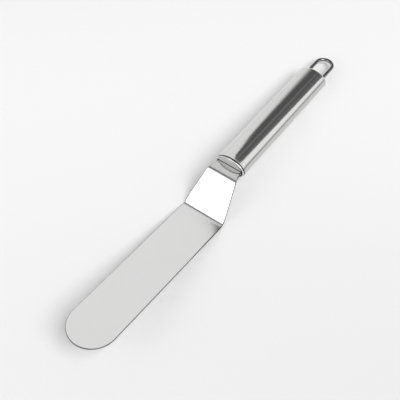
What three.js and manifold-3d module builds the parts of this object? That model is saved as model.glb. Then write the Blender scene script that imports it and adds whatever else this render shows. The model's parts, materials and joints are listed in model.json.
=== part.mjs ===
// Offset spatula: a cranked steel blade, held by its tang in a tubular handle with a wire hanging loop.
// Millimetres, +Z up. It lies as on a table, on the heel of the blade and the butt of the handle,
// with the tip in the air. X runs along the length, from the tip to the loop.

import * as THREE from 'three';
import { mergeVertices } from 'three/addons/utils/BufferGeometryUtils.js';
import Module from 'manifold-3d';

const wasm = await Module();
wasm.setup();

// Blade, neck and tang, one stamped and bent sheet
const sheetThickness = 1.2;
const bladeLength = 126;
const bladeWidth = 31;
const tipLength = 16.7;
const heelAngle = THREE.MathUtils.degToRad(54.8);
const heelInnerRadius = 2;
const heelBlendLength = 5;
const neckLength = 29;
const neckTopWidth = 21.4;
const crestInnerRadius = 1.5;
const tangAngle = THREE.MathUtils.degToRad(5.5);
const tangShownLength = 8.7;
const tangHiddenLength = 12;
const tangTaper = 1.8;

// Handle tube, an oval, wider than it is high
const handleWidth = 21.7;
const handleHeight = 15.1;
const handleLength = 106;
const tubeWall = 1;
const tangHeightShare = 0.094;
const tangSideRoom = 0.7;

// Front cap, a stamped oval disc with a slot for the tang and a skirt above and below it
const frontCapInset = 0.2;
const frontCapProud = 1.3;
const frontCapEdge = 0.4;
const frontCapWall = 1;
const frontSkirtLength = 5;
const frontSkirtWall = 0.9;

// Rear cap, the butt of the handle, with a bore for each leg of the loop
const shoulderRadius = 1.8;
const rearLand = 1.5;
const rearCapWall = 1;
const rearCrown = 0.5;
const crownFlatShare = 0.5;
const rearSkirtLength = 6;
const rearSkirtWall = 0.9;

// Hanging loop, one bent wire
const wireDiameter = 2.4;
const legInset = 1.5;
const loopReach = 21.3;
const legHiddenLength = 6;

// Weld beads inside the handle
const weldLeg = 1.6;
const tangWeldInset = 0.6;

// Clearances: between pieces that sit in each other, along the tang's slot, and the overrun of every cut
const seatGap = 0.3;
const slotGap = 0.25;
const cutOverrun = 1;

// Facets of a full turn
const handleSegments = 72;
const wireSegments = 16;
const bowSteps = 16;
const arcSegments = 6;
const tipSegments = 24;

const quarterTurn = Math.PI / 2;
const rearSeamX = handleLength - shoulderRadius - rearLand;

// how far the caps' skirts, which sit in the tube, and the room within them lie from the handle's outside
const skirtInset = tubeWall + seatGap;
const frontRoomInset = skirtInset + frontSkirtWall;
const rearRoomInset = skirtInset + rearSkirtWall;

// half the handle's width at a height above its middle, with its outline drawn in by an inset
function halfWidthAt(inset, height) {
  const share = height / (handleHeight / 2 - inset);
  return (handleWidth / 2 - inset) * Math.sqrt(1 - share * share);
}

// the tang narrows from the neck to what passes into the tube, and the front cap's slot fits round it
const tangAboveAxis = tangHeightShare * handleHeight / 2;
const tangTopHeight = tangAboveAxis + sheetThickness / 2;
const tangMouthWidth = 2 * halfWidthAt(skirtInset + tangSideRoom, tangTopHeight);
const faceShare = frontCapProud / (tangShownLength + frontCapProud);
const tangFaceWidth = tangMouthWidth + faceShare * (neckTopWidth - tangMouthWidth);
const slotWidth = tangFaceWidth + 2 * slotGap;
const slotHeight = sheetThickness + 2 * slotGap;

// the loop's legs pass inside the rear skirt
const wireRadius = wireDiameter / 2;
const legOffset = handleWidth / 2 - rearRoomInset - legInset - wireRadius;

function direction(angle) {
  return new THREE.Vector2(Math.cos(angle), Math.sin(angle));
}

function steel(name, colour, roughness) {
  return new THREE.MeshStandardMaterial({ name, color: colour, roughness, metalness: 1 });
}

const bladeSteel = steel('blade_steel', 0xd2d3d2, 0.22);
const tubeSteel = steel('tube_steel', 0xbcbcba, 0.34);
const capSteel = steel('cap_steel', 0xc4c4c2, 0.28);
const wireSteel = steel('wire_steel', 0xb4b4b2, 0.12);
const weldSteel = steel('weld_steel', 0x9a9894, 0.55);

// a closed geometry as a solid that can be cut
function solidOf(geometry) {
  const bare = geometry.clone();
  bare.deleteAttribute('normal');
  bare.deleteAttribute('uv');
  const welded = mergeVertices(bare);
  return new wasm.Manifold(new wasm.Mesh({
    numProp: 3,
    vertProperties: Float32Array.from(welded.attributes.position.array),
    triVerts: Uint32Array.from(welded.index.array),
  }));
}

function geometryOf(solid) {
  const mesh = solid.getMesh();
  const geometry = new THREE.BufferGeometry();
  geometry.setAttribute('position', new THREE.BufferAttribute(mesh.vertProperties, mesh.numProp));
  geometry.setIndex(new THREE.BufferAttribute(mesh.triVerts, 1));
  geometry.computeVertexNormals();
  return geometry;
}

// points of part of a round, from one angle to another about its centre
function roundPart(centre, radius, from, to) {
  return Array.from({ length: arcSegments + 1 }, (_, step) => {
    const point = direction(from + (to - from) * step / arcSegments).multiplyScalar(radius).add(centre);
    return [point.x, point.y];
  });
}

// the handle's outline drawn in by an inset and scaled by a share, as points of side and height
function ovalOutline(inset, share = 1) {
  const halfWidth = share * (handleWidth / 2 - inset);
  const halfHeight = share * (handleHeight / 2 - inset);
  return Array.from({ length: handleSegments }, (_, step) => {
    const angle = 4 * quarterTurn * step / handleSegments;
    return [halfWidth * Math.sin(angle), halfHeight * Math.cos(angle)];
  });
}

// the convex body between outlines, each with its place along the handle
function bodyBetween(...outlines) {
  return wasm.Manifold.hull(outlines.flatMap(([along, outline]) => (
    outline.map(([side, height]) => [along, side, height])
  )));
}

// an oval bar between two places along the handle
function ovalBar(inset, start, end) {
  return bodyBetween([start, ovalOutline(inset)], [end, ovalOutline(inset)]);
}

function box(low, high) {
  return wasm.Manifold.cube(high.map((value, axis) => value - low[axis])).translate(low);
}

// where the sheet's top face turns, in a side view with the blade level and the heel at x = 0
const neckDirection = direction(heelAngle);
const tangDirection = direction(tangAngle);
const tangUp = direction(tangAngle + quarterTurn);
const heelTurn = heelInnerRadius * Math.tan(heelAngle / 2);
const heelCentre = new THREE.Vector2(-heelTurn, sheetThickness + heelInnerRadius);
const crest = neckDirection.clone().multiplyScalar(neckLength);
crest.y += sheetThickness;
const crestOuterRadius = crestInnerRadius + sheetThickness;
const crestTurn = crestOuterRadius * Math.tan((heelAngle - tangAngle) / 2);
const crestCentre = crest.clone().addScaledVector(neckDirection, -crestTurn);
crestCentre.add(new THREE.Vector2(neckDirection.y, -neckDirection.x).multiplyScalar(crestOuterRadius));
const tangLength = tangShownLength + tangHiddenLength;

function sheetSideView() {
  const tangTop = crest.clone().addScaledVector(tangDirection, tangLength);
  const tangBottom = tangTop.clone().addScaledVector(tangUp, -sheetThickness);
  const side = new THREE.Shape();
  side.moveTo(-bladeLength, sheetThickness);
  side.lineTo(heelCentre.x, sheetThickness);
  side.absarc(heelCentre.x, heelCentre.y, heelInnerRadius, -quarterTurn, heelAngle - quarterTurn, false);
  const neckSide = heelAngle + quarterTurn;
  const tangSide = tangAngle + quarterTurn;
  side.absarc(crestCentre.x, crestCentre.y, crestOuterRadius, neckSide, tangSide, true);
  side.lineTo(tangTop.x, tangTop.y);
  side.lineTo(tangBottom.x, tangBottom.y);
  side.absarc(crestCentre.x, crestCentre.y, crestInnerRadius, tangSide, neckSide, false);
  const heelOuterRadius = heelInnerRadius + sheetThickness;
  side.absarc(heelCentre.x, heelCentre.y, heelOuterRadius, heelAngle - quarterTurn, -quarterTurn, true);
  side.lineTo(-bladeLength, 0);
  side.closePath();
  return side;
}

// the sheet's outline from above: parallel sides, a round tip, and a neck and tang that narrow
function sheetOutline() {
  const tipCentreX = tipLength - bladeLength;
  const mouthX = crest.x + (tangShownLength + frontCapProud) * tangDirection.x;
  const tangEndX = crest.x + tangLength * tangDirection.x;
  const neckSide = new THREE.Vector2(crest.x, (neckTopWidth - bladeWidth) / 2).normalize();
  const blend = neckSide.clone().multiplyScalar(heelBlendLength);
  const outline = new THREE.Shape();
  outline.moveTo(tipCentreX, -bladeWidth / 2);
  outline.lineTo(-heelBlendLength, -bladeWidth / 2);
  outline.quadraticCurveTo(0, -bladeWidth / 2, blend.x, -bladeWidth / 2 - blend.y);
  outline.lineTo(crest.x, -neckTopWidth / 2);
  outline.lineTo(mouthX, -tangMouthWidth / 2);
  outline.lineTo(tangEndX, tangTaper - tangMouthWidth / 2);
  outline.lineTo(tangEndX, tangMouthWidth / 2 - tangTaper);
  outline.lineTo(mouthX, tangMouthWidth / 2);
  outline.lineTo(crest.x, neckTopWidth / 2);
  outline.lineTo(blend.x, bladeWidth / 2 + blend.y);
  outline.quadraticCurveTo(0, bladeWidth / 2, -heelBlendLength, bladeWidth / 2);
  outline.lineTo(tipCentreX, bladeWidth / 2);
  outline.absellipse(tipCentreX, 0, tipLength, bladeWidth / 2, quarterTurn, 3 * quarterTurn, false, 0);
  return outline;
}

function bladeGeometry() {
  const cutterWidth = bladeWidth + 2 * cutOverrun;
  const bentSheet = new THREE.ExtrudeGeometry(sheetSideView(), {
    depth: cutterWidth, bevelEnabled: false, curveSegments: arcSegments,
  });
  bentSheet.rotateX(quarterTurn);
  bentSheet.translate(0, cutterWidth / 2, 0);
  const cutterHeight = crest.y + tangLength * tangDirection.y + 2 * cutOverrun;
  const outline = new THREE.ExtrudeGeometry(sheetOutline(), {
    depth: cutterHeight, bevelEnabled: false, curveSegments: tipSegments,
  });
  outline.translate(0, 0, -cutOverrun);
  return geometryOf(solidOf(bentSheet).intersect(solidOf(outline)));
}

function tubeGeometry() {
  const bore = ovalBar(tubeWall, -cutOverrun, rearSeamX + cutOverrun);
  return geometryOf(ovalBar(0, 0, rearSeamX).subtract(bore));
}

function frontCapGeometry() {
  const innerFace = frontCapWall - frontCapProud;
  const edgeCentre = new THREE.Vector2(-frontCapInset - frontCapEdge, frontCapEdge - frontCapProud);
  const edge = roundPart(edgeCentre, frontCapEdge, -quarterTurn, 0);
  const plate = bodyBetween(
    ...edge.map(([reach, along]) => [along, ovalOutline(-reach)]),
    [-seatGap, ovalOutline(frontCapInset)],
  );
  const skirt = ovalBar(skirtInset, edge.at(-1)[1], frontSkirtLength);
  const room = ovalBar(frontRoomInset, innerFace, frontSkirtLength + cutOverrun);
  const slotHalf = slotWidth / 2;
  const slotFloor = tangAboveAxis - slotHeight / 2;
  const slotRoof = tangAboveAxis + slotHeight / 2;
  const farX = frontSkirtLength + cutOverrun;
  const slot = box([-frontCapProud - cutOverrun, -slotHalf, slotFloor], [farX, slotHalf, slotRoof]);
  const skirtNotch = box([-seatGap, -handleWidth, slotFloor], [farX, handleWidth, slotRoof]);
  return geometryOf(plate.add(skirt).subtract(room).subtract(skirtNotch).subtract(slot));
}

function rearCapGeometry() {
  const innerFace = handleLength - rearCapWall;
  const shoulderX = handleLength - shoulderRadius;
  const shoulderCentre = new THREE.Vector2(-shoulderRadius, shoulderX);
  const shoulder = roundPart(shoulderCentre, shoulderRadius, 0, quarterTurn);
  const end = bodyBetween(
    [rearSeamX + seatGap, ovalOutline(0)],
    ...shoulder.map(([reach, along]) => [along, ovalOutline(-reach)]),
    [handleLength + rearCrown, ovalOutline(shoulderRadius, crownFlatShare)],
  );
  const skirtStart = rearSeamX - rearSkirtLength;
  const skirt = ovalBar(skirtInset, skirtStart, shoulderX);
  let solid = end.add(skirt).subtract(ovalBar(rearRoomInset, skirtStart - cutOverrun, innerFace));
  const boreSize = wireRadius + seatGap;
  const depth = rearCapWall + rearCrown + 2 * cutOverrun;
  for (const side of [-1, 1]) {
    const bore = new THREE.CylinderGeometry(boreSize, boreSize, depth, wireSegments);
    bore.rotateZ(quarterTurn);
    bore.translate(innerFace - cutOverrun + depth / 2, side * legOffset, 0);
    solid = solid.subtract(solidOf(bore));
  }
  return geometryOf(solid);
}

// the loop's centre line: a leg, a half turn and the other leg, walked at an even pace
class LoopCurve extends THREE.Curve {
  constructor() {
    super();
    this.start = handleLength - rearCapWall - legHiddenLength;
    this.leg = handleLength + loopReach - legOffset - this.start;
    this.bow = Math.PI * legOffset;
  }

  getPoint(share, target = new THREE.Vector3()) {
    const walked = share * (2 * this.leg + this.bow);
    if (walked < this.leg) return target.set(this.start + walked, legOffset, 0);
    if (walked > this.leg + this.bow) {
      return target.set(this.start + 2 * this.leg + this.bow - walked, -legOffset, 0);
    }
    const angle = (walked - this.leg) / legOffset;
    const bowX = this.start + this.leg + legOffset * Math.sin(angle);
    return target.set(bowX, legOffset * Math.cos(angle), 0);
  }
}

function loopGeometry() {
  const section = new THREE.Shape();
  section.absarc(0, 0, wireRadius, 0, 4 * quarterTurn, false);
  const curve = new LoopCurve();
  const steps = Math.round(bowSteps * (2 * curve.leg + curve.bow) / curve.bow);
  return new THREE.ExtrudeGeometry(section, {
    steps, extrudePath: curve, bevelEnabled: false, curveSegments: wireSegments / 2,
  });
}

// a three-cornered bead along the tang, in the corner between the tang and the inside of the front cap
function tangWeldGeometry(side) {
  const corner = tangAboveAxis + side * (sheetThickness / 2 + seatGap);
  const foot = frontCapWall - frontCapProud + seatGap;
  const bead = new THREE.Shape();
  bead.moveTo(foot, corner);
  bead.lineTo(foot + weldLeg, corner);
  bead.lineTo(foot, corner + side * weldLeg);
  bead.closePath();
  const halfLength = halfWidthAt(frontRoomInset + tangWeldInset, tangTopHeight + seatGap + weldLeg);
  const geometry = new THREE.ExtrudeGeometry(bead, { depth: 2 * halfLength, bevelEnabled: false });
  geometry.rotateX(quarterTurn);
  geometry.translate(0, halfLength, 0);
  return geometry;
}

// a half ring round one leg of the loop, against the inside of the rear cap
function loopWeldGeometry(side) {
  const innerRadius = wireRadius + seatGap;
  const start = side > 0 ? Math.PI : 0;
  const bead = new THREE.Shape();
  bead.absarc(0, 0, innerRadius + weldLeg, start, start + Math.PI, false);
  bead.absarc(0, 0, innerRadius, start + Math.PI, start, true);
  bead.closePath();
  const geometry = new THREE.ExtrudeGeometry(bead, {
    depth: weldLeg, bevelEnabled: false, curveSegments: arcSegments,
  });
  // the drawing's right and up become the handle's -Z and +Y
  geometry.rotateY(quarterTurn);
  geometry.translate(handleLength - rearCapWall - seatGap - weldLeg, side * legOffset, 0);
  return geometry;
}

function addPiece(group, name, geometry, material) {
  const piece = new THREE.Mesh(geometry, material);
  piece.name = name;
  group.add(piece);
}

// the handle's frame: its origin on the axis at the tube's front end, X along the axis
const handleOrigin = crest.clone()
  .addScaledVector(tangDirection, tangShownLength + frontCapProud)
  .addScaledVector(tangUp, -sheetThickness / 2 - tangAboveAxis);

const handle = new THREE.Group();
handle.position.set(handleOrigin.x, 0, handleOrigin.y);
handle.rotation.y = -tangAngle;
addPiece(handle, 'handle_tube', tubeGeometry(), tubeSteel);
addPiece(handle, 'front_cap', frontCapGeometry(), capSteel);
addPiece(handle, 'rear_cap', rearCapGeometry(), tubeSteel);
addPiece(handle, 'hanging_loop', loopGeometry(), wireSteel);
addPiece(handle, 'tang_weld_upper', tangWeldGeometry(1), weldSteel);
addPiece(handle, 'tang_weld_lower', tangWeldGeometry(-1), weldSteel);
addPiece(handle, 'loop_weld_left', loopWeldGeometry(1), weldSteel);
addPiece(handle, 'loop_weld_right', loopWeldGeometry(-1), weldSteel);

// the table touches the round outside of the heel and the lower shoulder of the butt
function restTilt() {
  const shoulder = handleOrigin.clone()
    .addScaledVector(tangDirection, handleLength - shoulderRadius)
    .addScaledVector(tangUp, shoulderRadius - handleHeight / 2);
  const span = shoulder.sub(heelCentre);
  return span.angle() - Math.asin((shoulderRadius - heelInnerRadius - sheetThickness) / span.length());
}

const tilted = new THREE.Group();
tilted.rotation.y = restTilt();
addPiece(tilted, 'blade', bladeGeometry(), bladeSteel);
tilted.add(handle);

// the origin lies on the table, under the middle of the spatula's length
const spatula = new THREE.Group();
spatula.name = 'offset_spatula';
spatula.add(tilted);
spatula.updateMatrixWorld(true);
const extent = new THREE.Box3().setFromObject(spatula, true);
tilted.position.set(-(extent.min.x + extent.max.x) / 2, 0, -extent.min.z);
spatula.updateMatrixWorld(true);

export default spatula;
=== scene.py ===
import json
import math

import bmesh
import bpy
from mathutils import Matrix, Vector


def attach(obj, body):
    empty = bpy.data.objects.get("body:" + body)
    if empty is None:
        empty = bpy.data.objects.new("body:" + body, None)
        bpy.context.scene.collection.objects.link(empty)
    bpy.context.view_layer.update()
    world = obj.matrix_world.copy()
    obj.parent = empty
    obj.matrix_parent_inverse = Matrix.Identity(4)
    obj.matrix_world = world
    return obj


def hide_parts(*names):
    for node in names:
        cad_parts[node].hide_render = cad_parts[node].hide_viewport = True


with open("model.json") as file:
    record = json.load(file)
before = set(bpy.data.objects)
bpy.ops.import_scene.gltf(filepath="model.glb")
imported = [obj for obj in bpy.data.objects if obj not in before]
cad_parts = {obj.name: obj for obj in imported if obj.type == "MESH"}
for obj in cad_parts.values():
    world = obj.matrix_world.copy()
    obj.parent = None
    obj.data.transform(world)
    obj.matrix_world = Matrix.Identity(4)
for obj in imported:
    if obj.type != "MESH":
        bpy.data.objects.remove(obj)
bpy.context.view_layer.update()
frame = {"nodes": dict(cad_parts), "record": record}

# An offset spatula in stainless steel. Sizes are in millimetres unless a note says otherwise.
mm = 0.001
quarterTurn = math.pi / 2
scene = bpy.context.scene


# a socket of a node tree: sums and products of it add Math nodes to the tree
class Wire:
    def __init__(self, wiring, socket):
        self.wiring = wiring
        self.socket = socket

    def math(self, operation, *values):
        return self.wiring.add("ShaderNodeMath", {"operation": operation}, *values)

    def absolute(self):
        return self.math("ABSOLUTE", self)

    def __add__(self, other):
        return self.math("ADD", self, other)

    def __radd__(self, other):
        return self.math("ADD", other, self)

    def __sub__(self, other):
        return self.math("SUBTRACT", self, other)

    def __rsub__(self, other):
        return self.math("SUBTRACT", other, self)

    def __mul__(self, other):
        return self.math("MULTIPLY", self, other)

    def __rmul__(self, other):
        return self.math("MULTIPLY", other, self)

    def __truediv__(self, other):
        return self.math("DIVIDE", self, other)

    # 0 below low, 1 above high, and a smooth step between them
    def step(self, low, high):
        kind = {"interpolation_type": "SMOOTHSTEP"}
        return self.wiring.add("ShaderNodeMapRange", kind, self, low, high, 0.0, 1.0)

    # 0 below the middle, 1 above it, with the step spread over soft on each side
    def edge(self, middle, soft):
        return self.step(middle - soft, middle + soft)


# a node tree that is being wired
class Wiring:
    def __init__(self, nodeTree):
        self.nodeTree = nodeTree

    # the one way in for any node: its type, its settings, then its inputs by order or by name
    def add(self, kind, settings, *values, out=0, **named):
        node = self.nodeTree.nodes.new(kind)
        for key, value in settings.items():
            setattr(node, key, value)
        shown = [socket for socket in node.inputs if socket.enabled]
        given = list(zip(shown, values))
        given += [(self.byName(shown, name), value) for name, value in named.items()]
        for socket, value in given:
            self.feed(socket, value)
        outputs = [socket for socket in node.outputs if socket.enabled]
        found = outputs[out] if isinstance(out, int) else self.byName(outputs, out)
        return Wire(self, found)

    def byName(self, sockets, name):
        plain = name.replace("_", " ").lower()
        return next(socket for socket in sockets if socket.name.lower() == plain)

    def feed(self, socket, value):
        if isinstance(value, Wire):
            self.nodeTree.links.new(value.socket, socket)
        elif value is not None:
            socket.default_value = value

    # how far a place or direction reaches along another
    def dot(self, place, way):
        kind = {"operation": "DOT_PRODUCT"}
        return self.add("ShaderNodeVectorMath", kind, place, way, out="Value")

    def coordinate(self, place, axis):
        return self.add("ShaderNodeSeparateXYZ", {}, place, out=axis)

    def grey(self, level, blue=None):
        return self.add("ShaderNodeCombineColor", {}, level, level, blue or level)


def turnedFrame(origin, along, up):
    columns = Matrix((along, Vector((0, 1, 0)), up)).transposed().to_4x4()
    return Matrix.Translation(origin) @ columns


bladeSize = {
    "thickness": 1.2,
    "length": 126.0,
    "width": 31.0,
    "tipLength": 16.7,
    "heelAngle": 54.8,
    "heelRadius": 2.0,
    "heelBlend": 5.0,
    "neckLength": 29.0,
    "neckTopWidth": 21.4,
    "crestRadius": 2.7,
    "tangAngle": 5.5,
    "tangShown": 8.7,
    "tangHidden": 12.0,
    "tangMouthWidth": 17.2,
    "tangTaper": 1.8,
    "edgeRadius": 0.3,
    "mountAhead": 60.0,
    "tipSteps": 28,
    "flatSteps": 26,
    "blendSteps": 6,
    "bendSteps": 14,
    "neckSteps": 8,
    "tangSteps": 8,
    "edgeSteps": 4,
    "columns": 20,
    "outerColumns": (0.96, 0.985, 1.0),
    "sharpAngle": 40.0,
}
handleSize = {
    "width": 21.7,
    "height": 15.1,
    "length": 106.0,
    "wall": 1.0,
    "tangAbove": 0.71,
    "frontLip": 0.25,
    "lipSteps": 4,
    "tubeSteps": 24,
    "rearLand": 1.5,
    "capProud": 1.3,
    "slotGap": 0.34,
    "segments": 192,
    "sharpAngle": 30.0,
    "weld": 0.0005,
}

# the blade's own frame: the record's face mount lies on its top, so far ahead of the heel
mount = frame["record"]["mounts"][0]
bladeUp = Vector(mount["axis"]).normalized()
bladeAlong = Vector((bladeUp.z, 0, -bladeUp.x))
heelPoint = Vector(mount["pos_m"]) + bladeAlong * bladeSize["mountAhead"] * mm
heelPoint -= bladeUp * bladeSize["thickness"] * mm
bladeFrame = turnedFrame(heelPoint, bladeAlong, bladeUp) @ Matrix.Scale(mm, 4)


def sideDirection(degrees):
    angle = math.radians(degrees)
    return Vector((math.cos(angle), 0, math.sin(angle)))


tangAlong = sideDirection(bladeSize["tangAngle"])
tangUp = sideDirection(bladeSize["tangAngle"] + 90)
frontCapProud = handleSize["capProud"]
crest = sideDirection(bladeSize["heelAngle"]) * bladeSize["neckLength"]
crest.z += bladeSize["thickness"]
tubeStart = crest + tangAlong * (bladeSize["tangShown"] + frontCapProud)
tubeStart -= tangUp * (bladeSize["thickness"] / 2 + handleSize["tangAbove"])
handleFrame = bladeFrame @ turnedFrame(tubeStart, tangAlong, tangUp)
print("frames placed, heel at", [round(x / mm, 2) for x in heelPoint])


# the camera stands where the photograph was taken from, aimed by the heel
cameraSize = {
    "azimuth": -53.161,
    "elevation": 56.696,
    "roll": -1.748,
    "lens": 72.87,
    "distance": 525.0,
    "toRight": -2.04,
    "upwards": 9.70,
    "sensor": 36.0,
    "clipStart": 10.0,
}


def makeCamera():
    azimuth = math.radians(cameraSize["azimuth"])
    elevation = math.radians(cameraSize["elevation"])
    flat = Vector((math.sin(azimuth), -math.cos(azimuth), 0))
    back = flat * math.cos(elevation) + Vector((0, 0, math.sin(elevation)))
    right = Vector((math.cos(azimuth), math.sin(azimuth), 0))
    up = back.cross(right)
    roll = math.radians(cameraSize["roll"])
    turnedRight = right * math.cos(roll) + up * math.sin(roll)
    up = up * math.cos(roll) - right * math.sin(roll)
    right = turnedRight
    place = heelPoint + back * cameraSize["distance"] * mm
    place += right * cameraSize["toRight"] * mm + up * cameraSize["upwards"] * mm
    data = bpy.data.cameras.new("photoCamera")
    data.lens = cameraSize["lens"]
    data.sensor_width = cameraSize["sensor"]
    data.clip_start = cameraSize["clipStart"] * mm
    camera = bpy.data.objects.new("photoCamera", data)
    camera.matrix_world = Matrix.Translation(place) @ Matrix((right, up, back)).transposed().to_4x4()
    scene.collection.objects.link(camera)
    scene.camera = camera


makeCamera()
print("camera set")


# Finishes

def newFinish(name):
    material = bpy.data.materials.new(name)
    material.use_nodes = True
    material.node_tree.nodes.clear()
    return material, Wiring(material.node_tree)


def finishOff(wiring, shader):
    output = wiring.nodeTree.nodes.new("ShaderNodeOutputMaterial")
    wiring.nodeTree.links.new(shader.socket, output.inputs["Surface"])


# coordinates along a piece's own frame, in millimetres, from Object coordinates
def ownPlace(wiring, ownFrame):
    inverse = ownFrame.inverted()
    objectPlace = wiring.add("ShaderNodeTexCoord", {}, out="Object")
    return wiring.add(
        "ShaderNodeMapping", {"vector_type": "POINT"}, objectPlace,
        inverse.to_translation(), inverse.to_euler(), inverse.to_scale(),
    )


steelNoise = {"roughness": 0.55, "middle": 0.5, "cloudDetail": 2.0, "bumpStrength": 0.5}
# grain and clouds are shares of the level, grit and blur are their parts in the roughness, and the
# scales say how fine the noise is along each axis of the piece
steelLook = {
    "blade": {
        "level": 0.77, "blue": 0.995, "grain": 0.05, "clouds": 0.05,
        "roughness": 0.10, "grit": 0.08, "blur": 0.05, "bump": 0.008,
        "grainScale": (0.03, 5.0, 5.0), "grainDetail": 4.0, "cloudScale": (0.035, 0.06, 0.05),
    },
    "tube": {
        "level": 0.72, "blue": 0.99, "grain": 0.26, "clouds": 0.06,
        "roughness": 0.14, "grit": 0.10, "blur": 0.05, "bump": 0.020,
        "grainScale": (0.02, 2.5, 2.5), "grainDetail": 5.0, "cloudScale": (0.04, 0.15, 0.15),
    },
    "cap": {
        "level": 0.76, "blue": 0.99, "grain": 0.08, "clouds": 0.06,
        "roughness": 0.24, "grit": 0.10, "blur": 0.05, "bump": 0.010,
        "grainScale": (1.2, 1.2, 1.2), "grainDetail": 5.0, "cloudScale": (0.04, 0.15, 0.15),
    },
    # the wire's level is held low: painted shade, for the dark that the wire mirrors
    "wire": {
        "level": 0.26, "blue": 0.99, "grain": 0.04, "clouds": 0.06,
        "roughness": 0.10, "grit": 0.10, "blur": 0.05, "bump": 0.004,
        "grainScale": (0.3, 1.5, 1.5), "grainDetail": 5.0, "cloudScale": (0.04, 0.15, 0.15),
    },
    "weld": {
        "level": 0.46, "blue": 0.99, "grain": 0.25, "clouds": 0.06,
        "roughness": 0.48, "grit": 0.10, "blur": 0.05, "bump": 0.080,
        "grainScale": (1.0, 1.0, 1.0), "grainDetail": 5.0, "cloudScale": (0.04, 0.15, 0.15),
    },
}
# on the blade: the sheared edges, rougher and with painted shade, the bends, which the press marked
# rougher, with painted shade, and painted shade on the tang
bladeMarks = {
    "edgeShade": 0.8, "edgeRoughness": 0.2,
    "bendReach": 2.4, "bendShade": 0.16, "bendRoughness": 0.22,
    "tangShade": 0.2, "tangFrom": -0.5, "tangTo": 1.5,
}
# on the handle: painted shade on its sides, and painted shade in the front cap's seams.
# The joint runs round the rim, the groove lies inside it, by inset, and the slot holds the tang
handleMarks = {
    "flankShade": 0.19, "flankFrom": 8.7, "flankTo": 9.6,
    "seamShade": 0.96, "soft": 0.06, "joint": 0.58, "jointEnd": 0.25,
    "grooveOuter": 1.02, "grooveInner": 1.5, "grooveShift": 0.3, "grooveSoft": 0.02,
    "grooveFrom": -0.6, "grooveTo": -0.4,
    "slotEdge": 0.08, "slotSoft": 0.1,
}


# noise stretched by a scale along each axis
def noiseOf(wiring, place, scale, detail):
    spread = wiring.add("ShaderNodeVectorMath", {"operation": "MULTIPLY"}, place, scale)
    return wiring.add(
        "ShaderNodeTexNoise", {"noise_dimensions": "3D"}, Vector=spread, Scale=1.0,
        Detail=detail, Roughness=steelNoise["roughness"],
    )


# level and roughness of rubbed steel, and the noise of its grain
def steelGrain(wiring, place, look):
    grain = noiseOf(wiring, place, look["grainScale"], look["grainDetail"])
    clouds = noiseOf(wiring, place, look["cloudScale"], steelNoise["cloudDetail"])
    streaks, patches = grain - steelNoise["middle"], clouds - steelNoise["middle"]
    level = look["level"] * (1 + streaks * look["grain"] + patches * look["clouds"])
    roughness = look["roughness"] + streaks * look["grit"] + patches * look["blur"]
    return level, roughness, grain


def steelFinish(wiring, look, level, roughness, grain):
    bump = wiring.add(
        "ShaderNodeBump", {}, Strength=steelNoise["bumpStrength"], Distance=look["bump"] * mm,
        Height=grain,
    )
    finishOff(wiring, wiring.add(
        "ShaderNodeBsdfPrincipled", {}, Base_Color=wiring.grey(level, level * look["blue"]),
        Metallic=1.0, Roughness=roughness, Normal=bump,
    ))


# rolled and satin polished sheet: fine lines along it, soft clouds from handling
def bladeFinish():
    look, marks = steelLook["blade"], bladeMarks
    material, wiring = newFinish("bladeSteel")
    place = ownPlace(wiring, bladeFrame)
    level, roughness, grain = steelGrain(wiring, place, look)
    sheared = wiring.add("ShaderNodeAttribute", {"attribute_name": "sheared"}, out="Fac")
    fromHeel = wiring.coordinate(place, "X")
    fromCrest = fromHeel - crest.x
    nearHeel = 1 - fromHeel.absolute().step(0.0, marks["bendReach"])
    nearCrest = 1 - fromCrest.absolute().step(0.0, marks["bendReach"])
    pressedAndShaded = nearHeel + nearCrest
    tang = fromCrest.step(marks["tangFrom"], marks["tangTo"])
    # painted shade: the sheared edges, the bends and the tang drawn darker
    level = level * (1 - sheared * marks["edgeShade"])
    level = level * (1 - pressedAndShaded * marks["bendShade"]) * (1 - tang * marks["tangShade"])
    roughness = roughness + sheared * marks["edgeRoughness"] + pressedAndShaded * marks["bendRoughness"]
    steelFinish(wiring, look, level, roughness, grain)
    return material


# how much painted shade a place of the front cap or the tube's mouth gets in a seam, from its own
# frame
def seamShade(wiring, place):
    marks = handleMarks
    along, side, up = [wiring.coordinate(place, axis) for axis in "XYZ"]

    # below 1 within the oval that lies so far inside the handle's
    def within(inset, shift=0.0):
        acrossShare = (side - shift) / (handleSize["width"] / 2 - inset)
        upShare = up / (handleSize["height"] / 2 - inset)
        return acrossShare * acrossShare + upShare * upShare

    joint = along.edge(-marks["joint"], marks["soft"])
    joint = joint * (1 - along.edge(marks["jointEnd"], marks["soft"]))
    soft = marks["grooveSoft"]
    groove = 1 - within(marks["grooveOuter"]).step(1 - soft, 1.0)
    groove = groove * within(marks["grooveInner"], marks["grooveShift"]).step(1.0, 1 + soft)
    groove = groove * (1 - along.step(marks["grooveFrom"], marks["grooveTo"]))
    slotHalf = bladeSize["thickness"] / 2 + handleSize["slotGap"] + marks["slotEdge"]
    slot = 1 - (up - handleSize["tangAbove"]).absolute().edge(slotHalf, marks["soft"])
    slot = slot * (1 - along.step(0.0, marks["slotSoft"]))
    slot = slot * (1 - within(marks["grooveOuter"]).step(1 - marks["slotSoft"], 1.0))
    dark = joint.math("MAXIMUM", joint, groove)
    return dark.math("MAXIMUM", dark, slot)


# belt polished stock and raw weld metal, from coordinates along the handle
def handleFinish(name, look, flanks=False, seams=False):
    material, wiring = newFinish(name)
    place = ownPlace(wiring, handleFrame)
    level, roughness, grain = steelGrain(wiring, place, look)
    marks = handleMarks
    if flanks:
        # painted shade: the sides of the tube drawn darker
        side = wiring.coordinate(place, "Y").absolute()
        level = level * (1 - side.step(marks["flankFrom"], marks["flankTo"]) * marks["flankShade"])
    if seams:
        # painted shade in the joint, the groove and the slot of the front cap
        level = level * (1 - seamShade(wiring, place) * marks["seamShade"])
    steelFinish(wiring, look, level, roughness, grain)
    return material


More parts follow.
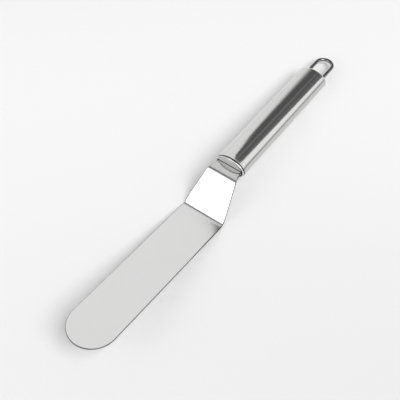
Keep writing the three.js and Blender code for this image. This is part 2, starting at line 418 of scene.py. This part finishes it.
bladeSteel = bladeFinish()
tubeSteel = handleFinish("tubeSteel", steelLook["tube"], flanks=True, seams=True)
capSteel = handleFinish("capSteel", steelLook["cap"], seams=True)
wireSteel = handleFinish("wireSteel", steelLook["wire"])
weldSteel = handleFinish("weldSteel", steelLook["weld"])
print("finishes made")


# Shapes

def newPiece(name, mesh, material, node):
    mesh.materials.clear()
    mesh.materials.append(material)
    piece = bpy.data.objects.new(name, mesh)
    scene.collection.objects.link(piece)
    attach(piece, "root")
    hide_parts(node)
    print(name, "made,", len(mesh.polygons), "faces")


# closes seams and poles, points the faces outwards and puts the mesh in its place
def settleMesh(mesh, place, sharpAngle=handleSize["sharpAngle"]):
    work = bmesh.new()
    work.from_mesh(mesh)
    bmesh.ops.remove_doubles(work, verts=work.verts, dist=handleSize["weld"])
    bmesh.ops.recalc_face_normals(work, faces=work.faces)
    work.transform(place)
    work.to_mesh(mesh)
    work.free()
    mesh.shade_smooth()
    mesh.set_sharp_from_angle(angle=math.radians(sharpAngle))
    return mesh


# points on part of a circle about its centre
def roundPoints(centre, radius, start, end, steps):
    points = []
    for step in range(steps + 1):
        angle = start + (end - start) * step / steps
        points.append((centre[0] + radius * math.cos(angle), centre[1] + radius * math.sin(angle)))
    return points


# The blade: stations along the top face in a side view, each with its place and direction

def bladePath():
    size = bladeSize
    heelTurn = math.radians(size["heelAngle"])
    tangTurn = math.radians(size["tangAngle"])
    heelTrim = size["heelRadius"] * math.tan(heelTurn / 2)
    crestTrim = size["crestRadius"] * math.tan((heelTurn - tangTurn) / 2)
    neckWay = Vector((math.cos(heelTurn), math.sin(heelTurn)))
    tangWay = Vector((math.cos(tangTurn), math.sin(tangTurn)))
    heelTop = Vector((0, size["thickness"]))
    crestTop = heelTop + neckWay * size["neckLength"]
    tangEnd = crestTop + tangWay * (size["tangShown"] + size["tangHidden"])
    heelCentre = Vector((-heelTrim, size["thickness"] + size["heelRadius"]))
    crestCentre = crestTop - neckWay * crestTrim
    crestCentre += Vector((neckWay.y, -neckWay.x)) * size["crestRadius"]
    stations = []

    def straight(start, end, steps, angle):
        for step in range(steps):
            stations.append((start.lerp(end, step / steps), angle))

    def bend(centre, radius, startAngle, endAngle, steps):
        for step in range(steps):
            angle = startAngle + (endAngle - startAngle) * step / steps
            side = 1 if endAngle > startAngle else -1
            normal = Vector((-math.sin(angle), math.cos(angle)))
            stations.append((centre - normal * radius * side, angle))

    tipEnd = Vector((size["tipLength"] - size["length"], size["thickness"]))
    for step in range(size["tipSteps"]):
        share = 1 - math.cos(quarterTurn * step / size["tipSteps"])
        tipPlace = Vector((-size["length"] + size["tipLength"] * share, size["thickness"]))
        stations.append((tipPlace, 0.0))
    blendStart = Vector((-size["heelBlend"], size["thickness"]))
    heelIn = Vector((-heelTrim, size["thickness"]))
    straight(tipEnd, blendStart, size["flatSteps"], 0.0)
    straight(blendStart, heelIn, size["blendSteps"], 0.0)
    bend(heelCentre, size["heelRadius"], 0.0, heelTurn, size["bendSteps"])
    neckStart = heelTop + neckWay * heelTrim
    blendEnd = heelTop + neckWay * size["heelBlend"] / math.cos(heelTurn)
    neckEnd = crestTop - neckWay * crestTrim
    straight(neckStart, blendEnd, size["blendSteps"], heelTurn)
    straight(blendEnd, neckEnd, size["neckSteps"], heelTurn)
    bend(crestCentre, size["crestRadius"], heelTurn, tangTurn, size["bendSteps"])
    tangStart = crestTop + tangWay * crestTrim
    mouth = crestTop + tangWay * (size["tangShown"] + frontCapProud)
    straight(tangStart, mouth, size["tangSteps"], tangTurn)
    straight(mouth, tangEnd, size["tangSteps"], tangTurn)
    stations.append((tangEnd, tangTurn))
    return stations


# half the width of the sheet at a place along it, seen from above
def halfWidth(x):
    size = bladeSize
    half = size["width"] / 2
    crestX = crest.x
    neckHalf = size["neckTopWidth"] / 2
    if x <= size["tipLength"] - size["length"]:
        share = min(1.0, (size["tipLength"] - size["length"] - x) / size["tipLength"])
        return half * math.sqrt(1 - share * share)
    if x <= -size["heelBlend"]:
        return half
    slope = (neckHalf - half) / crestX
    run = math.hypot(1, slope)
    blendX = size["heelBlend"] / run
    if x <= blendX:
        # a quadratic curve from the straight side to the neck's, with its corner at the heel
        start = -size["heelBlend"]
        skew = start + blendX
        share = (start - x) / (start - math.sqrt(start * start - skew * (start - x)))
        return half + slope * blendX * share * share
    if x <= crestX:
        return half + slope * x
    mouthX = crestX + (size["tangShown"] + frontCapProud) * tangAlong.x
    endX = crestX + (size["tangShown"] + size["tangHidden"]) * tangAlong.x
    mouthHalf = size["tangMouthWidth"] / 2
    if x <= mouthX:
        return neckHalf + (mouthHalf - neckHalf) * (x - crestX) / (mouthX - crestX)
    return mouthHalf - size["tangTaper"] * (x - mouthX) / (endX - mouthX)


def bladeMesh():
    size = bladeSize
    stations = bladePath()
    walked = [0.0]
    for (before, _), (after, _) in zip(stations, stations[1:]):
        walked.append(walked[-1] + (after - before).length)
    halves = [halfWidth(place.x) for place, _ in stations]
    halves[0] = 0.0

    # where a flat sheet's point goes when the sheet is bent: past a station, and down from its top
    def bent(index, ahead, across, down):
        place, angle = stations[index]
        way = Vector((math.cos(angle), math.sin(angle)))
        normal = Vector((-way.y, way.x))
        spot = place + way * ahead - normal * down
        return Vector((spot.x, across, spot.y))

    edge, edgeSteps = size["edgeRadius"], size["edgeSteps"]
    rim = roundPoints((0, edge), edge, -quarterTurn, 0, edgeSteps)
    rim += roundPoints((0, size["thickness"] - edge), edge, 0, quarterTurn, edgeSteps)
    columns = [-column for column in reversed(size["outerColumns"])]
    columns += [2 * step / size["columns"] - 1 for step in range(1, size["columns"])]
    columns += size["outerColumns"]
    work = bmesh.new()
    sheared = work.verts.layers.float.new("sheared")
    flat = len(columns)
    side = len(rim) - 2
    loops = []
    for index in range(len(stations)):
        lower = max(index - 1, 0)
        upper = min(index + 1, len(stations) - 1)
        slope = Vector((walked[upper] - walked[lower], halves[upper] - halves[lower]))
        outward = Vector((-slope.y, slope.x)).normalized()
        if index == 0:
            outward = Vector((-1, 0))
        if index == len(stations) - 1:
            outward = Vector((0, 1))
        inner = halves[index] - edge * outward.y
        shift = -edge * outward.x
        loop = [bent(index, shift, inner * column, 0) for column in columns]
        loop += [bent(index, shift + reach * outward.x, inner + reach * outward.y, down)
                 for reach, down in rim[1:-1]]
        loop += [bent(index, shift, inner * column, size["thickness"]) for column in reversed(columns)]
        loop += [bent(index, shift + reach * outward.x, -inner - reach * outward.y, down)
                 for reach, down in reversed(rim[1:-1])]
        loops.append([work.verts.new(point) for point in loop])
        for spot in range(side):
            loops[-1][flat + spot][sheared] = 1.0
            loops[-1][2 * flat + side + spot][sheared] = 1.0
    count = len(loops[0])
    for near, far in zip(loops, loops[1:]):
        for corner in range(count):
            nextCorner = (corner + 1) % count
            work.faces.new((near[corner], near[nextCorner], far[nextCorner], far[corner]))
    work.faces.new(loops[-1])
    mesh = bpy.data.meshes.new("blade")
    work.to_mesh(mesh)
    work.free()
    return settleMesh(mesh, bladeFrame, size["sharpAngle"])


newPiece("bladeSheet", bladeMesh(), bladeSteel, "blade")


# Geometry Nodes: a tree with named inputs, run once on a start mesh, gives a plain mesh

class ShapeTree:
    def __init__(self, name, sizes):
        self.group = bpy.data.node_groups.new(name, "GeometryNodeTree")
        self.wiring = Wiring(self.group)
        panel = self.group.interface
        panel.new_socket("Geometry", in_out="INPUT", socket_type="NodeSocketGeometry")
        panel.new_socket("Geometry", in_out="OUTPUT", socket_type="NodeSocketGeometry")
        self.sizes = sizes
        self.keys = {}
        for label, value in sizes.items():
            kind = "NodeSocketInt" if isinstance(value, int) else "NodeSocketFloat"
            self.keys[label] = panel.new_socket(label, in_out="INPUT", socket_type=kind).identifier
        self.start = self.group.nodes.new("NodeGroupInput")

    def input(self, label):
        return Wire(self.wiring, self.start.outputs[label])

    def add(self, kind, settings, *values, **named):
        return self.wiring.add(kind, settings, *values, **named)

    # realises, gives the finish and closes the tree, then runs it and returns the mesh
    def run(self, startMesh, shape, material):
        real = self.add("GeometryNodeRealizeInstances", {}, shape)
        dressed = self.add("GeometryNodeSetMaterial", {}, real, Material=material)
        end = self.group.nodes.new("NodeGroupOutput")
        self.group.links.new(dressed.socket, end.inputs[0])
        holder = bpy.data.objects.new(self.group.name, startMesh)
        scene.collection.objects.link(holder)
        modifier = holder.modifiers.new("shape", "NODES")
        modifier.node_group = self.group
        for label, value in self.sizes.items():
            modifier[self.keys[label]] = value
        graph = bpy.context.evaluated_depsgraph_get()
        mesh = bpy.data.meshes.new_from_object(holder.evaluated_get(graph))
        holder.modifiers.clear()
        bpy.data.objects.remove(holder)
        return mesh


def lineMesh(name, points):
    mesh = bpy.data.meshes.new(name)
    mesh.from_pydata(points, [(index, index + 1) for index in range(len(points) - 1)], [])
    return mesh


# a profile carried round the handle's oval: each point has its place along the handle, how far it lies
# within the oval, and a scale about the oval's middle
def sweptMesh(name, profile, material):
    points = [tuple(point) + (1.0,) * (3 - len(point)) for point in profile]
    size = handleSize
    tree = ShapeTree(name + "Swept", {
        "Profile points": len(points), "Segments": size["segments"],
        "Half width": size["width"] / 2, "Half height": size["height"] / 2, "Weld": size["weld"],
    })
    segments = tree.input("Segments")
    grid = tree.add("GeometryNodeMeshGrid", {}, 1.0, 1.0, tree.input("Profile points"), segments + 1)
    index = tree.add("GeometryNodeInputIndex", {})
    # half an index more keeps the quotient clear of whole numbers
    row = index.math("FLOOR", (index + 0.5) / (segments + 1))
    column = index - row * (segments + 1)
    sampled = tree.add(
        "GeometryNodeSampleIndex", {"data_type": "FLOAT_VECTOR", "domain": "POINT", "clamp": True},
        Geometry=Wire(tree.wiring, tree.start.outputs["Geometry"]),
        Value=tree.add("GeometryNodeInputPosition", {}), Index=row,
    )
    along, inset, scale = [tree.wiring.coordinate(sampled, axis) for axis in "XYZ"]
    angle = column / segments * (2 * math.pi)
    side = angle.math("COSINE", angle) * (tree.input("Half width") - inset) * scale
    up = angle.math("SINE", angle) * (tree.input("Half height") - inset) * scale
    place = tree.add("ShaderNodeCombineXYZ", {}, along, side, up)
    shape = tree.add("GeometryNodeSetPosition", {}, Geometry=grid, Position=place)
    joined = tree.add("GeometryNodeMergeByDistance", {}, Geometry=shape, Distance=tree.input("Weld"))
    return tree.run(lineMesh(name, points), joined, material)


# The handle tube, and the caps at its ends

rearSize = {
    "shoulder": 1.8,
    "wall": 1.0,
    "crown": 0.5,
    "skirt": 6.0,
    "skirtWall": 0.9,
    "skirtGap": 0.3,
    "shoulderSteps": 10,
    "crownSteps": 8,
    "boreGap": 0.06,
    "borePast": 0.5,
}
seamAlong = handleSize["length"] - rearSize["shoulder"] - handleSize["rearLand"]


def tubeMesh():
    lip, wall, steps = handleSize["frontLip"], handleSize["wall"], handleSize["tubeSteps"]
    places = [lip + (seamAlong - lip) * step / steps for step in range(steps + 1)]
    profile = [(along, wall) for along in reversed(places)] + [(0.0, wall)]
    profile += [(place, inset) for inset, place in roundPoints(
        (lip, lip), lip, -quarterTurn, -math.pi, handleSize["lipSteps"])]
    profile += [(along, 0.0) for along in places[1:]]
    profile.append(profile[0])
    return settleMesh(sweptMesh("tube", profile, tubeSteel), handleFrame)


newPiece("handleTube", tubeMesh(), tubeSteel, "handle_tube")

frontSize = {
    "inset": 0.20,
    "rim": 0.95,
    "rimCrest": 0.55,
    "groove": 0.28,
    "faceBack": 0.16,
    "faceEdge": 0.12,
    "faceShift": 0.18,
    "faceLap": 0.1,
    "backing": 0.62,
    "plate": 0.3,
    "skirt": 5.0,
    "skirtWall": 0.9,
    "skirtGap": 0.3,
    "cutPast": 1.0,
    "seam": 0.24,
    "crestSteps": 8,
    "innerSteps": 5,
    "edgeSteps": 4,
    "faceRing": 0.6,
    "backRing": 0.5,
}
wireSize = {
    "diameter": 2.4,
    "spacing": 11.9,
    "reach": 21.3,
    "hidden": 6.0,
    "sides": 40,
    "bendSteps": 24,
}


def boxMesh(lowest, highest):
    work = bmesh.new()
    bmesh.ops.create_cube(work, size=1.0)
    for vert in work.verts:
        vert.co = Vector([
            low if share < 0 else high for share, low, high in zip(vert.co, lowest, highest)])
    return work


# cuts one mesh out of another
def cutMesh(mesh, cutterWork):
    cutter = bpy.data.meshes.new("cutter")
    cutterWork.to_mesh(cutter)
    cutterWork.free()
    body = bpy.data.objects.new("cutBody", mesh)
    tool = bpy.data.objects.new("cutTool", cutter)
    scene.collection.objects.link(body)
    scene.collection.objects.link(tool)
    cut = body.modifiers.new("cut", "BOOLEAN")
    cut.operation = "DIFFERENCE"
    cut.solver = "EXACT"
    cut.object = tool
    graph = bpy.context.evaluated_depsgraph_get()
    result = bpy.data.meshes.new_from_object(body.evaluated_get(graph))
    bpy.data.objects.remove(body)
    bpy.data.objects.remove(tool)
    return result


# a rim with a round crest that stands proud of the tube, and a face let into it with a groove between
def frontCapMesh():
    size = frontSize
    outer, inner = size["inset"], size["inset"] + size["rim"]
    crestRadius = size["rimCrest"]
    crestInset = outer + crestRadius
    innerRadius = inner - crestInset
    front = -frontCapProud
    backing = front + size["backing"]
    skirtOuter = handleSize["wall"] + size["skirtGap"]
    skirtInner = skirtOuter + size["skirtWall"]
    rim = [(-size["seam"], outer)]
    rim += [(place, inset) for inset, place in roundPoints(
        (crestInset, front + crestRadius), crestRadius, math.pi, math.pi + quarterTurn,
        size["crestSteps"])]
    rim += [(place, inset) for inset, place in roundPoints(
        (crestInset, front + innerRadius), innerRadius, -quarterTurn, 0, size["innerSteps"])][1:]
    plateBack = backing + size["plate"]
    rim += [(backing, inner), (backing, inner, size["backRing"]), (backing, inner, 0.0)]
    rim += [(plateBack, inner, 0.0), (plateBack, skirtInner), (size["skirt"], skirtInner)]
    rim += [(size["skirt"], skirtOuter), (-size["seam"], skirtOuter), (-size["seam"], outer)]
    faceInset = inner + size["groove"]
    faceAlong = front + size["faceBack"]
    faceEnd = backing + size["faceLap"]
    edge = size["faceEdge"]
    face = [(faceAlong, faceInset, 0.0), (faceAlong, faceInset, size["faceRing"])]
    face.append((faceAlong, faceInset + edge))
    face += [(place, inset) for inset, place in roundPoints(
        (faceInset + edge, faceAlong + edge), edge, -quarterTurn, -math.pi, size["edgeSteps"])]
    face += [(faceEnd, faceInset), (faceEnd, faceInset, 0.0)]
    faceMove = Matrix.Translation((0, size["faceShift"], 0))
    rimMesh = settleMesh(sweptMesh("rim", rim, capSteel), Matrix.Identity(4))
    faceMesh = settleMesh(sweptMesh("face", face, capSteel), faceMove)

    # the slot is as wide as the tang is where it enters
    mouth = bladeSize["tangMouthWidth"]
    widening = (bladeSize["neckTopWidth"] - mouth) / (bladeSize["tangShown"] + frontCapProud)
    slotHalf = (mouth + widening * frontCapProud) / 2 + handleSize["slotGap"]
    slotHigh = bladeSize["thickness"] / 2 + handleSize["slotGap"]
    low, high = handleSize["tangAbove"] - slotHigh, handleSize["tangAbove"] + slotHigh
    far = size["skirt"] + size["cutPast"]
    work = bmesh.new()
    for mesh in (rimMesh, faceMesh):
        slot = boxMesh((2 * front, -slotHalf, low), (far, slotHalf, high))
        notch = boxMesh((-size["seam"], -handleSize["width"], low), (far, handleSize["width"], high))
        work.from_mesh(cutMesh(cutMesh(mesh, slot), notch))
    joined = bpy.data.meshes.new("frontCap")
    work.to_mesh(joined)
    work.free()
    return settleMesh(joined, handleFrame)


newPiece("frontCap", frontCapMesh(), capSteel, "front_cap")


def rearCapMesh():
    size = rearSize
    length = handleSize["length"]
    skirtOuter = handleSize["wall"] + size["skirtGap"]
    skirtInner = skirtOuter + size["skirtWall"]
    innerFace = length - size["wall"]
    skirtStart = seamAlong - size["skirt"]
    profile = [(innerFace, skirtInner, 0.0), (innerFace, skirtInner), (skirtStart, skirtInner)]
    profile += [(skirtStart, skirtOuter), (seamAlong, skirtOuter), (seamAlong, 0.0)]
    profile += [(along, -reach) for reach, along in roundPoints(
        (-size["shoulder"], length - size["shoulder"]), size["shoulder"], 0, quarterTurn,
        size["shoulderSteps"])]
    for step in range(1, size["crownSteps"] + 1):
        share = 1 - step / size["crownSteps"]
        profile.append((length + size["crown"] * (1 - share * share), size["shoulder"], share))
    cup = settleMesh(sweptMesh("rearCup", profile, tubeSteel), Matrix.Identity(4))
    bore = wireSize["diameter"] / 2 + size["boreGap"]
    depth = 2 * (size["wall"] + size["crown"] + size["borePast"])
    work = bmesh.new()
    for side in (-1, 1):
        place = Matrix.Translation((length, side * wireSize["spacing"] / 2, 0))
        bmesh.ops.create_cone(
            work, cap_ends=True, segments=wireSize["sides"], radius1=bore, radius2=bore,
            depth=depth, matrix=place @ Matrix.Rotation(quarterTurn, 4, "Y"))
    return settleMesh(cutMesh(cup, work), handleFrame)


newPiece("rearCap", rearCapMesh(), tubeSteel, "rear_cap")


# The hanging loop: a wire along two legs and a half turn

def loopMesh():
    size = wireSize
    half = size["spacing"] / 2
    start = handleSize["length"] - rearSize["wall"] - size["hidden"]
    end = handleSize["length"] + size["reach"]
    points = [(start, half, 0), (end, half, 0), (end, -half, 0), (start, -half, 0)]
    tree = ShapeTree("wireLoop", {
        "Wire radius": size["diameter"] / 2, "Bow radius": half,
        "Sides": size["sides"], "Bend steps": size["bendSteps"],
    })
    path = tree.add("GeometryNodeMeshToCurve", {}, Wire(tree.wiring, tree.start.outputs["Geometry"]))
    bow = tree.add(
        "GeometryNodeFilletCurve", {"mode": "POLY"},
        Curve=path, Count=tree.input("Bend steps"), Radius=tree.input("Bow radius"),
    )
    section = tree.add(
        "GeometryNodeCurvePrimitiveCircle", {"mode": "RADIUS"},
        Resolution=tree.input("Sides"), Radius=tree.input("Wire radius"),
    )
    wire = tree.add("GeometryNodeCurveToMesh", {}, Curve=bow, Profile_Curve=section, Fill_Caps=True)
    return settleMesh(tree.run(lineMesh("wire", points), wire, wireSteel), handleFrame)


newPiece("hangingLoop", loopMesh(), wireSteel, "hanging_loop")


# The beads stay as the CAD has them, hidden in the handle, and get the raw weld finish
for node in ("tang_weld_upper", "tang_weld_lower", "loop_weld_left", "loop_weld_right"):
    frame["nodes"][node].material_slots[0].material = weldSteel


# The studio: a pale floor, soft lamps, a pale surround, and a dark card that the handle mirrors

# in metres; fade is how much painted shade darkens the floor towards the camera
floorLook = {
    "level": 0.94,
    "roughness": 0.9,
    "far": 12.0,
    "near": 0.26,
    "fade": 0.14,
    "fadeTowards": (-0.82, -0.57, 0.0),
    "fadeFrom": -0.14,
    "fadeTo": 0.16,
}
# ambient is the light that falls on things, walls what steel mirrors, seen what the camera sees
surroundLook = {"ambient": 0.46, "walls": 0.90, "seen": 0.92}
# overhead, the dark that the two bends of the sheet mirror, by how far a direction leans along X
overheadLook = {
    "level": 0.10,
    "from": -0.25,
    "to": 0.42,
    "soft": 0.1,
    "height": 0.45,
    "heightSoft": 0.15,
}
# on the near side of the surround, a low window over a dim horizon, by their height
windowLook = {
    "towards": (0.51, -0.86, 0.0),
    "from": 0.35,
    "to": 0.75,
    "glow": 0.14,
    "low": 0.34,
    "lowSoft": 0.15,
    "high": 0.50,
    "highSoft": 0.1,
    "horizon": 0.58,
    "horizonFrom": -0.02,
    "horizonTo": 0.22,
}
# the card lies level over the handle. A paler strip runs along its middle, it leans paler on the near
# side of that, and it fades out beyond a line across its far side
cardLook = {
    "height": 150.0,
    "corners": (
        (88, 10), (96, -74), (126, -82), (220, -112), (285, -140), (560, -250), (560, 420),
        (310, 215), (225, 152), (184, 112), (166, 82), (158, 64), (142, 51), (116, 34),
    ),
    "level": 0.10,
    "strip": 0.10,
    "stripHalf": 18.0,
    "stripFrom": (132, 2),
    "stripTo": (250, -8),
    "lean": 0.05,
    "leanReach": 90.0,
    "fadeStart": 86.0,
    "fadeSlope": -0.03,
    "fadeWidth": -125.0,
    "fadeGrowth": 0.85,
    "fadeLeast": 4.0,
    "fadeTo": 0.85,
}
# in metres, degrees and watts
lamps = {
    "leftBox": {"azimuth": 158.0, "elevation": 30.0, "distance": 0.6, "size": 0.26, "power": 0.47},
    "keyBox": {"azimuth": -105.0, "elevation": 56.0, "distance": 3.2, "size": 1.9, "power": 70.0},
}


def flatPiece(name, corners, material):
    mesh = bpy.data.meshes.new(name)
    mesh.from_pydata(corners, [], [tuple(range(len(corners)))])
    mesh.materials.append(material)
    piece = bpy.data.objects.new(name, mesh)
    scene.collection.objects.link(piece)
    return piece


def makeFloor():
    look = floorLook
    material, wiring = newFinish("floorPaper")
    place = wiring.add("ShaderNodeTexCoord", {}, out="Object")
    # painted shade: the floor darker towards the camera
    fade = wiring.dot(place, look["fadeTowards"]).step(look["fadeFrom"], look["fadeTo"]) * look["fade"]
    colour = wiring.grey((1 - fade) * look["level"])
    finishOff(wiring, wiring.add(
        "ShaderNodeBsdfPrincipled", {}, Base_Color=colour, Roughness=look["roughness"],
        Specular_IOR_Level=0.0))
    far, near = look["far"], -look["near"]
    corners = [(-far, near, 0), (far, near, 0), (far, far, 0), (-far, far, 0)]
    floor = flatPiece("floor", corners, material)


def makeSurround():
    world = bpy.data.worlds.new("surround")
    world.use_nodes = True
    world.node_tree.nodes.clear()
    wiring = Wiring(world.node_tree)
    direction = wiring.add("ShaderNodeTexCoord", {}, out="Generated")
    height = wiring.dot(direction, (0, 0, 1))
    lengthwise = wiring.dot(direction, (1, 0, 0))

    window = windowLook
    towards = Vector(window["towards"]).normalized()
    nearSide = wiring.dot(direction, towards).step(window["from"], window["to"])
    glow = height.step(window["low"] - window["lowSoft"], window["low"])
    glow = glow * (1 - height.step(window["high"], window["high"] + window["highSoft"]))
    horizon = 1 - height.step(window["horizonFrom"], window["horizonTo"])
    walls = surroundLook["walls"] + nearSide * (glow * window["glow"] - horizon * window["horizon"])

    look = overheadLook
    overhead = lengthwise.step(look["from"] - look["soft"], look["from"])
    overhead = overhead * (1 - lengthwise.step(look["to"] - look["soft"], look["to"]))
    overhead = overhead * height.step(look["height"], look["height"] + look["heightSoft"])
    mirrored = walls + overhead * (look["level"] - walls)

    glossy = wiring.add("ShaderNodeLightPath", {}, out="Is Glossy Ray")
    seen = wiring.add("ShaderNodeLightPath", {}, out="Is Camera Ray")
    ambient = surroundLook["ambient"]
    shown = ambient + glossy * (mirrored - ambient) + seen * (surroundLook["seen"] - ambient)
    light = wiring.add("ShaderNodeBackground", {}, wiring.grey(shown), 1.0)
    output = world.node_tree.nodes.new("ShaderNodeOutputWorld")
    world.node_tree.links.new(light.socket, output.inputs["Surface"])
    scene.world = world


# only mirrored rays meet the card
def makeCard():
    look = cardLook
    material, wiring = newFinish("cardPaper")
    place = wiring.add("ShaderNodeTexCoord", {}, out="Object")
    start, end = Vector(look["stripFrom"]) * mm, Vector(look["stripTo"]) * mm
    way = (end - start).normalized()
    across = wiring.dot(place, (-way.y, way.x, 0.0)) - (way.x * start.y - way.y * start.x)
    strip = 1 - across.absolute().step(0.0, look["stripHalf"] * mm)
    lean = (0 - across).step(0.0, look["leanReach"] * mm)
    x, y = [wiring.coordinate(place, axis) / mm for axis in "XY"]
    beyond = y - x * look["fadeSlope"] - look["fadeStart"]
    width = x * look["fadeGrowth"] + look["fadeWidth"]
    fade = (beyond / width.math("MAXIMUM", width, look["fadeLeast"])).step(0.0, 1.0)
    shade = look["level"] + strip * look["strip"] + lean * look["lean"]
    shade = shade + fade * (look["fadeTo"] - shade)
    finishOff(wiring, wiring.add("ShaderNodeEmission", {}, wiring.grey(shade), 1.0))
    corners = [(x * mm, y * mm, look["height"] * mm) for x, y in look["corners"]]
    card = flatPiece("darkCard", corners, material)
    card.visible_camera = False
    card.visible_diffuse = False
    card.visible_transmission = False
    card.visible_volume_scatter = False
    card.visible_shadow = False


# a square soft box, its azimuth measured from +X towards +Y
def makeLamp(name, size):
    azimuth = math.radians(size["azimuth"])
    way = sideDirection(size["elevation"])
    way.rotate(Matrix.Rotation(azimuth, 3, "Z"))
    data = bpy.data.lights.new(name, "AREA")
    data.shape = "SQUARE"
    data.size = size["size"]
    data.energy = size["power"]
    lamp = bpy.data.objects.new(name, data)
    lamp.location = way * size["distance"]
    lamp.rotation_mode = "QUATERNION"
    lamp.rotation_quaternion = way.to_track_quat("Z", "Y")
    scene.collection.objects.link(lamp)


makeFloor()
makeSurround()
makeCard()
for lampName, lampSize in lamps.items():
    makeLamp(lampName, lampSize)
scene.view_settings.view_transform = "Standard"
print("studio lit")
